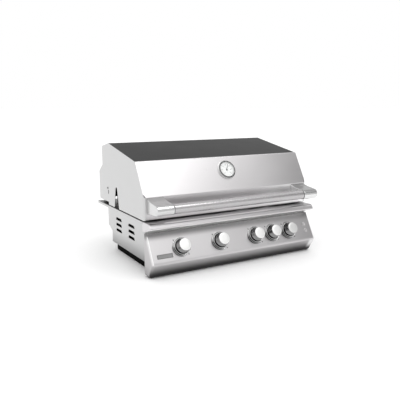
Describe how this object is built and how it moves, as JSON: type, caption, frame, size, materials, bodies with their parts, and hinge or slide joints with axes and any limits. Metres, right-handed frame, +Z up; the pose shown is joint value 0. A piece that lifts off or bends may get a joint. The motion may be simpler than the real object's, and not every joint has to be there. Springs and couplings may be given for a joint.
{
  "type": "built in gas grill",
  "caption": "Built in stainless gas grill head with a lift-up hood, leaning panel of push-and-turn knobs, burners, grates and a flange that rests on a worktop.",
  "frame": {"origin": "on the floor plane, under the middle of the whole grill's bounding box", "axes": "+X to the grill's right seen from the front, +Y to the rear, +Z up; the knobs face -Y"},
  "size_m": [0.817, 0.63, 0.4975],
  "materials": {
    "brushed_steel": "fine horizontal grain",
    "side_steel": "satin",
    "roof_steel": "dark satin",
    "polished_steel": "polished",
    "inner_steel": "plain mill finish",
    "grate_steel": "cast",
    "brass": "machined",
    "black_paint": "matt",
    "dial_white": "matt",
    "needle_black": "matt",
    "glass": "clear",
    "button_black": "gloss"
  },
  "bodies": {
    "grill_body": {"control_panel": "brushed_steel", "front_frame": "inner_steel", "front_ledge": "brushed_steel", "counter_flange": "brushed_steel", "side_panel_left": "side_steel", "side_panel_right": "side_steel", "rear_panel": "side_steel", "bottom_panel": "inner_steel", "base_frame": "black_paint", "firebox_front": "inner_steel", "firebox_rear": "inner_steel", "firebox_left": "inner_steel", "firebox_right": "inner_steel", "burner_1": "inner_steel", "burner_2": "inner_steel", "burner_3": "inner_steel", "burner_4": "inner_steel", "flame_tamer_1": "inner_steel", "flame_tamer_2": "inner_steel", "flame_tamer_3": "inner_steel", "flame_tamer_4": "inner_steel", "cooking_grate_1": "grate_steel", "cooking_grate_2": "grate_steel", "cooking_grate_3": "grate_steel", "warming_rack": "polished_steel", "rear_burner": "inner_steel", "gas_manifold": "brass", "drip_tray": "inner_steel", "hinge_bracket_left": "inner_steel", "hinge_bracket_right": "inner_steel", "knob_bezel_1": "polished_steel", "knob_bezel_2": "polished_steel", "knob_bezel_3": "polished_steel", "knob_bezel_4": "polished_steel", "knob_bezel_5": "polished_steel", "button_housing_1": "polished_steel", "button_housing_2": "polished_steel"},
    "hood": {"hood_front": "brushed_steel", "hood_top": "roof_steel", "hood_side_left": "side_steel", "hood_side_right": "side_steel", "handle_bar": "brushed_steel", "handle_bracket_left": "polished_steel", "handle_bracket_right": "polished_steel", "thermometer_case": "polished_steel", "thermometer_dial": "dial_white", "thermometer_lens": "glass"},
    "needle": {"thermometer_needle": "needle_black"},
    "stem_1": {"valve_stem_1": "brass"},
    "stem_2": {"valve_stem_2": "brass"},
    "stem_3": {"valve_stem_3": "brass"},
    "stem_4": {"valve_stem_4": "brass"},
    "stem_5": {"valve_stem_5": "brass"},
    "knob_1": {"knob_1": "polished_steel"},
    "knob_2": {"knob_2": "polished_steel"},
    "knob_3": {"knob_3": "polished_steel"},
    "knob_4": {"knob_4": "polished_steel"},
    "knob_5": {"knob_5": "polished_steel"},
    "button_1": {"push_button_1": "button_black"},
    "button_2": {"push_button_2": "button_black"}
  },
  "joints": [
    {"name": "hood_hinge", "type": "hinge", "parent": "grill_body", "child": "hood", "pos_m": [0, 0.245, 0.2965], "axis": [-1, 0, 0], "range_deg": [0, 90]},
    {"name": "needle_turn", "type": "hinge", "parent": "hood", "child": "needle", "pos_m": [0, -0.17194, 0.38998], "axis": [0, -0.8672, 0.4979], "range_deg": [-110, 160]},
    {"name": "valve_1_turn", "type": "hinge", "parent": "grill_body", "child": "stem_1", "pos_m": [-0.27, -0.26604, 0.11201], "axis": [0, -0.8731, 0.4876], "range_deg": [0, 220]},
    {"name": "valve_2_turn", "type": "hinge", "parent": "grill_body", "child": "stem_2", "pos_m": [-0.09, -0.26604, 0.11201], "axis": [0, -0.8731, 0.4876], "range_deg": [0, 220]},
    {"name": "valve_3_turn", "type": "hinge", "parent": "grill_body", "child": "stem_3", "pos_m": [0.09, -0.26604, 0.11201], "axis": [0, -0.8731, 0.4876], "range_deg": [0, 220]},
    {"name": "valve_4_turn", "type": "hinge", "parent": "grill_body", "child": "stem_4", "pos_m": [0.18, -0.26604, 0.11201], "axis": [0, -0.8731, 0.4876], "range_deg": [0, 220]},
    {"name": "valve_5_turn", "type": "hinge", "parent": "grill_body", "child": "stem_5", "pos_m": [0.27, -0.26604, 0.11201], "axis": [0, -0.8731, 0.4876], "range_deg": [0, 220]},
    {"name": "knob_1_push", "type": "slide", "parent": "stem_1", "child": "knob_1", "axis": [0, 0.8731, -0.4876], "range_m": [0, 0.004], "stiffness_N_per_m": 2500, "springref_m": -0.002},
    {"name": "knob_2_push", "type": "slide", "parent": "stem_2", "child": "knob_2", "axis": [0, 0.8731, -0.4876], "range_m": [0, 0.004], "stiffness_N_per_m": 2500, "springref_m": -0.002},
    {"name": "knob_3_push", "type": "slide", "parent": "stem_3", "child": "knob_3", "axis": [0, 0.8731, -0.4876], "range_m": [0, 0.004], "stiffness_N_per_m": 2500, "springref_m": -0.002},
    {"name": "knob_4_push", "type": "slide", "parent": "stem_4", "child": "knob_4", "axis": [0, 0.8731, -0.4876], "range_m": [0, 0.004], "stiffness_N_per_m": 2500, "springref_m": -0.002},
    {"name": "knob_5_push", "type": "slide", "parent": "stem_5", "child": "knob_5", "axis": [0, 0.8731, -0.4876], "range_m": [0, 0.004], "stiffness_N_per_m": 2500, "springref_m": -0.002},
    {"name": "button_1_push", "type": "slide", "parent": "grill_body", "child": "button_1", "axis": [0, 0.8731, -0.4876], "range_m": [0, 0.003], "stiffness_N_per_m": 800, "springref_m": -0.001},
    {"name": "button_2_push", "type": "slide", "parent": "grill_body", "child": "button_2", "axis": [0, 0.8731, -0.4876], "range_m": [0, 0.003], "stiffness_N_per_m": 800, "springref_m": -0.001}
  ]
}
